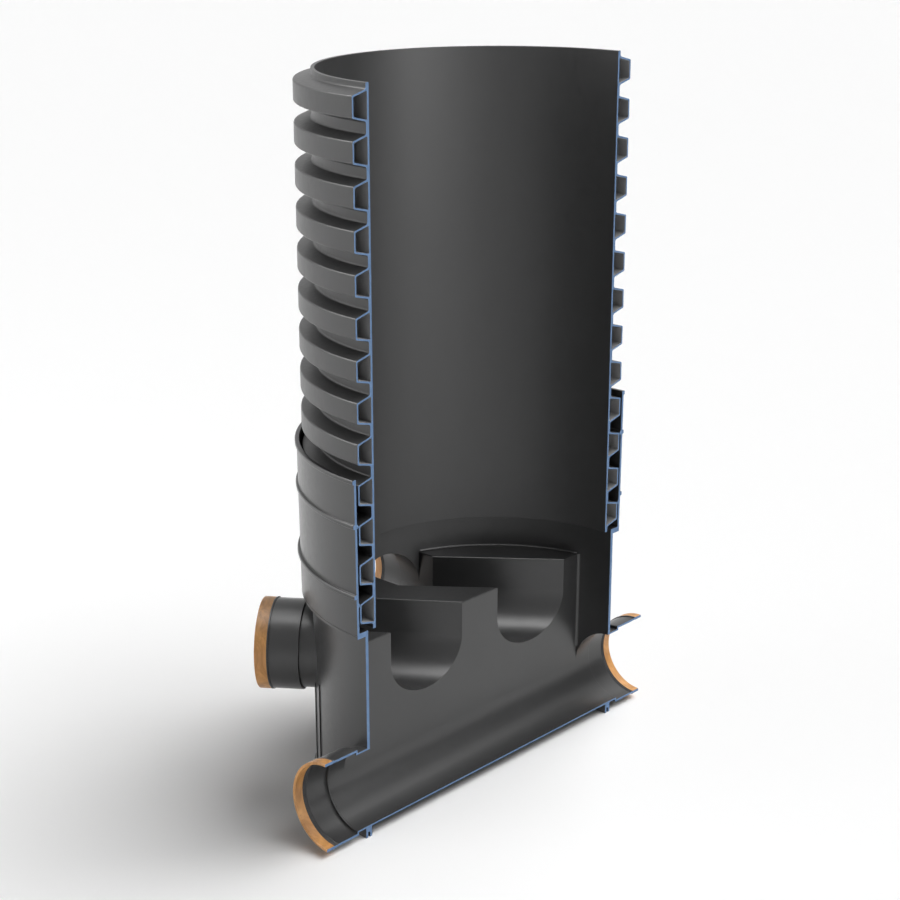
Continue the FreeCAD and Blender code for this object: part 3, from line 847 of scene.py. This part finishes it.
@dataclass
class PipeEnd:
    """A socket, lip seal and retaining ring at one neck. Sizes in millimetres."""

    end: EndName
    start: tuple[float, float, float]
    yaw: float
    neck_bore: float
    sweep: Sweep
    bore: float = 101.0
    wall: float = 5.5
    length: float = 75.0
    step: float = 4.0
    step_rounding: float = 1.0
    neck_rounding: float = 0.6
    shoulder_rounding: float = 1.5
    seat_rounding: float = 0.5
    seal_depth: float = 3.5
    seal_width: float = 12.0
    seal_lip: float = 1.2
    seal_rounding: float = 0.5
    lip_rounding: float = 0.8
    bead_radius: float = 108.7
    bead_length: float = 4.0
    bead_rounding: float = 0.9
    ring_radius: float = 108.0
    ring_length: float = 23.0
    ring_foot_rounding: float = 0.8
    ring_rounding: float = 1.6
    steps_half_round: int = 72

    def place(self) -> Matrix:
        """Returns the turn from a vertical axis to the neck's own line, and its start."""
        start = Matrix.Translation(Vector(self.start) * MM)
        heading = Matrix.Rotation(math.radians(self.yaw), 4, "Z")
        lay_down = Matrix.Rotation(math.pi / 2, 4, "Y")
        return start @ heading @ lay_down

    def upright(self) -> Matrix:
        """Returns the turn about the spin axis that puts a half piece behind the section plane."""
        return Matrix.Rotation(math.pi if self.end is EndName.MAIN_INLET else 0.0, 4, "Z")

    def make(
        self, kind: str, section: Section, slot: Slot, finish: bpy.types.Material, paint: bpy.types.Material
    ) -> None:
        """Spins a section and puts the piece at its neck.

        Args:
            kind: Last part of the node's name.
            section: The piece's outline.
            slot: The record's slot.
            finish: The piece's material.
            paint: The section paint.
        """
        steps = self.steps_half_round if self.sweep is Sweep.HALF else 2 * self.steps_half_round
        node = f"{self.end.value}_{kind}"
        piece = Piece(f"{node}_piece", node, slot, finish, paint)
        piece.place(section.spin(self.sweep, steps), self.place() @ self.upright())

    def socket_outline(self) -> list[Corner]:
        """Returns the socket's section, with its end bead and the seal's seat."""
        outer = self.bore + self.wall
        seat = self.bore + self.seal_depth
        bead_start = self.length - self.bead_length
        seal_start = self.length - self.seal_width
        return [
            (self.neck_bore, 0.0, self.neck_rounding),
            (outer, 0.0, self.shoulder_rounding),
            (outer, bead_start, 0.0),
            (self.bead_radius, bead_start, self.bead_rounding),
            (self.bead_radius, self.length, self.bead_rounding),
            (seat, self.length, 0.0),
            (seat, seal_start, 0.0),
            (self.bore, seal_start, self.seat_rounding),
            (self.bore, self.step, self.step_rounding),
            (self.neck_bore, self.step, self.step_rounding),
        ]

    def seal_outline(self) -> list[Corner]:
        """Returns the seal's section, with its two lips level with the bore."""
        seat = self.bore + self.seal_depth
        hollow = self.bore + self.seal_lip
        start = self.length - self.seal_width
        return [
            (seat, start, 0.0),
            (seat, self.length, 0.0),
            (self.bore, self.length, self.seal_rounding),
            (hollow, start + self.seal_width * 0.75, self.lip_rounding),
            (self.bore, start + self.seal_width * 0.5, self.seal_rounding),
            (hollow, start + self.seal_width * 0.25, self.lip_rounding),
            (self.bore, start, self.seal_rounding),
        ]

    def ring_outline(self) -> list[Corner]:
        """Returns the section of the retaining ring."""
        ring_end = self.length + self.ring_length
        return [
            (self.bore, self.length, 0.0),
            (self.ring_radius, self.length, self.ring_foot_rounding),
            (self.ring_radius, ring_end, self.ring_rounding),
            (self.bore, ring_end, self.ring_rounding),
        ]

    def build(self, finishes: Finishes) -> None:
        """Builds and dresses the socket, the seal and the ring.

        Args:
            finishes: The object's materials.
        """
        socket = Section().outline(self.socket_outline())
        self.make("socket", socket, Slot.BASE, finishes.base, finishes.paint)
        seal = Section().outline(self.seal_outline())
        self.make("seal", seal, Slot.SEAL, finishes.seal, finishes.paint)
        ring = Section().outline(self.ring_outline())
        self.make("ring", ring, Slot.RING, finishes.ring, finishes.paint)


@dataclass
class Necks:
    """Where the base's four necks end. Sizes in millimetres, angles in degrees."""

    reach: float = 462.0
    main_level: float = 124.0
    main_bore: float = 94.5
    branch_level: float = 336.0
    branch_bore: float = 96.5
    side_mouth: tuple[float, float] = (-140.0, 94.5)
    side_yaw: float = 126.5
    side_run: float = 286.072
    side_ring: float = 29.0
    rear_place: float = 50.0

    def side_start(self) -> tuple[float, float, float]:
        """Returns the middle of the side neck's end face."""
        turn = math.radians(self.side_yaw)
        across = self.side_mouth[0] + self.side_run * math.cos(turn)
        back = self.side_mouth[1] + self.side_run * math.sin(turn)
        return (across, back, self.branch_level)

    def pipe_ends(self) -> list[PipeEnd]:
        """Returns the pipe end of each neck."""
        inlet = (-self.reach, 0.0, self.main_level)
        outlet = (self.reach, 0.0, self.main_level)
        rear = (self.rear_place, self.reach, self.branch_level)
        return [
            PipeEnd(EndName.MAIN_INLET, inlet, 180.0, self.main_bore, Sweep.HALF),
            PipeEnd(EndName.MAIN_OUTLET, outlet, 0.0, self.main_bore, Sweep.HALF),
            PipeEnd(
                EndName.SIDE_INLET, self.side_start(), self.side_yaw, self.branch_bore, Sweep.WHOLE,
                ring_length=self.side_ring,
            ),
            PipeEnd(EndName.REAR_INLET, rear, 90.0, self.branch_bore, Sweep.WHOLE),
        ]


@dataclass(frozen=True)
class FarLamp:
    """A wide soft lamp far off, given by where it stands in the sky, in degrees."""

    name: str
    azimuth: float
    elevation: float
    width: float
    strength: float
    reach: Reach
    stand: float = 6.0

    def build(self) -> None:
        """Adds the lamp to the scene."""
        data = bpy.data.lights.new(self.name, "SUN")
        data.angle = math.radians(self.width)
        data.energy = self.strength
        lamp = bpy.data.objects.new(self.name, data)
        toward = sky_direction(self.azimuth, self.elevation)
        lamp.location = toward * self.stand
        lamp.rotation_euler = toward.to_track_quat("Z", "Y").to_euler()
        self.reach.limit(lamp)
        bpy.context.scene.collection.objects.link(lamp)
        log.info("%s: azimuth %.0f, elevation %.0f", self.name, self.azimuth, self.elevation)


@dataclass(frozen=True)
class Lamp:
    """A soft square lamp aimed at a point, all in metres and watts."""

    name: str
    place: Vector
    aim: Vector
    side: float
    power: float
    reach: Reach

    def build(self) -> None:
        """Adds the lamp to the scene."""
        data = bpy.data.lights.new(self.name, "AREA")
        data.shape = "SQUARE"
        data.size = self.side
        data.energy = self.power
        lamp = bpy.data.objects.new(self.name, data)
        lamp.location = self.place
        lamp.rotation_euler = (self.aim - self.place).to_track_quat("-Z", "Y").to_euler()
        self.reach.limit(lamp)
        bpy.context.scene.collection.objects.link(lamp)
        log.info("%s: %.0f W", self.name, self.power)


OVERHEAD = Vector((-0.35, -0.25, 4.2))
BELOW_OVERHEAD = Vector((-0.35, -0.25, 0.0))


@dataclass
class Studio:
    """A white floor, soft light and the camera. Lengths in metres, angles in degrees."""

    floor_radius: float = 40.0
    floor_facets: int = 96
    sky: Colour = (1.0, 1.0, 1.0)
    ambient: float = 0.056
    open_level: float = 0.8
    shade_azimuth: float = -25.0
    shade_elevation: float = 8.0
    shade_inner: float = 25.0
    shade_outer: float = 50.0
    shade_level: float = 0.096
    camera_place: Vector = field(default_factory=lambda: Vector((-2.982, -2.632, 2.1206)))
    camera_aim: Vector = field(default_factory=lambda: Vector((-0.1635, 0.0, 0.8539)))
    lens: float = 73.5
    sensor: float = 36.0
    farthest: float = 200.0
    lamps: tuple[FarLamp | Lamp, ...] = (
        FarLamp("right_key", -3.0, 55.0, 45.0, 1.95, Reach.MATT),
        FarLamp("front_key", -48.0, 55.0, 45.0, 1.50, Reach.MATT),
        FarLamp("near_key", -93.0, 55.0, 45.0, 0.33, Reach.MATT),
        FarLamp("front_panel", -93.0, 12.0, 48.0, 1.45, Reach.GLOSS),
        FarLamp("back_panel", 132.0, 12.0, 48.0, 1.10, Reach.GLOSS),
        FarLamp("right_panel", -3.0, 42.0, 48.0, 0.37, Reach.GLOSS),
        FarLamp("roof_panel", 0.0, 82.0, 48.0, 1.26, Reach.GLOSS),
        FarLamp("rim_panel", 120.0, 47.0, 30.0, 3.1, Reach.GLOSS),
        Lamp("overhead_gloss", OVERHEAD, BELOW_OVERHEAD, 2.2, 75.0, Reach.GLOSS),
        Lamp("overhead", OVERHEAD, BELOW_OVERHEAD, 2.2, 14.0, Reach.MATT),
        Lamp("front_box", Vector((0.9, -3.4, 2.2)), Vector((0.0, 0.2, 1.1)), 2.0, 36.0, Reach.GLOSS),
        Lamp("left_fill", Vector((-3.6, 2.4, 0.95)), Vector((-0.3, 0.2, 0.8)), 1.9, 46.0, Reach.MATT),
    )

    def build_floor(self) -> None:
        """Lays the floor."""
        mesh = bmesh.new()
        bmesh.ops.create_circle(
            mesh, cap_ends=True, segments=self.floor_facets, radius=self.floor_radius,
        )
        data = bpy.data.meshes.new("studio_floor")
        mesh.to_mesh(data)
        mesh.free()
        data.materials.append(StudioFloor().material())
        floor = bpy.data.objects.new("studio_floor", data)
        bpy.context.scene.collection.objects.link(floor)

    def build_world(self) -> None:
        """Makes a world that is white to the camera, pale in reflections and faint as a light.

        Reflections of the front right show a darker part.
        """
        world = bpy.data.worlds.new("studio_world")
        world.use_nodes = True
        board = Board(world.node_tree)
        path = board.node("ShaderNodeLightPath").outputs
        near = board.node("ShaderNodeVectorMath", {"operation": "DOT_PRODUCT"})
        board.feed(near.inputs[0], board.node("ShaderNodeTexCoord").outputs["Generated"])
        board.feed(near.inputs[1], sky_direction(self.shade_azimuth, self.shade_elevation))
        shade = board.node(
            "ShaderNodeMapRange", {"interpolation_type": "SMOOTHSTEP"}, Value=near.outputs["Value"],
            From_Min=math.cos(math.radians(self.shade_outer)),
            From_Max=math.cos(math.radians(self.shade_inner)),
            To_Min=self.open_level, To_Max=self.shade_level,
        )
        gloss = board.calculate("MULTIPLY", path["Is Glossy Ray"], shade.outputs["Result"])
        clear = board.calculate("MAXIMUM", path["Is Camera Ray"], path["Is Transmission Ray"])
        seen = board.calculate("MAXIMUM", gloss, clear)
        strength = board.calculate("MAXIMUM", seen, self.ambient)
        light = board.node("ShaderNodeBackground", Color=rgba(self.sky), Strength=strength)
        board.node("ShaderNodeOutputWorld", Surface=light.outputs["Background"])
        bpy.context.scene.world = world

    def build_camera(self) -> None:
        """Sets the camera at the photograph's viewing angle."""
        data = bpy.data.cameras.new("camera")
        data.lens = self.lens
        data.sensor_width = self.sensor
        data.clip_end = self.farthest
        camera = bpy.data.objects.new("camera", data)
        camera.location = self.camera_place
        camera.rotation_euler = (self.camera_aim - self.camera_place).to_track_quat("-Z", "Y").to_euler()
        bpy.context.scene.collection.objects.link(camera)
        bpy.context.scene.camera = camera

    def build(self) -> None:
        """Builds the whole studio."""
        self.build_floor()
        self.build_world()
        self.build_camera()
        for lamp in self.lamps:
            lamp.build()
        bpy.context.scene.view_settings.view_transform = "Standard"


def main() -> None:
    """Builds every piece in order, then the studio."""
    logging.basicConfig(level=logging.INFO, format="%(name)s %(message)s")
    finishes = Finishes()
    Riser().build(finishes)
    Sleeve().build(finishes)
    ChamberBase().build(finishes)
    for end in Necks().pipe_ends():
        end.build(finishes)
    Studio().build()
    bpy.context.view_layer.update()


if __name__ == "__main__":
    main()
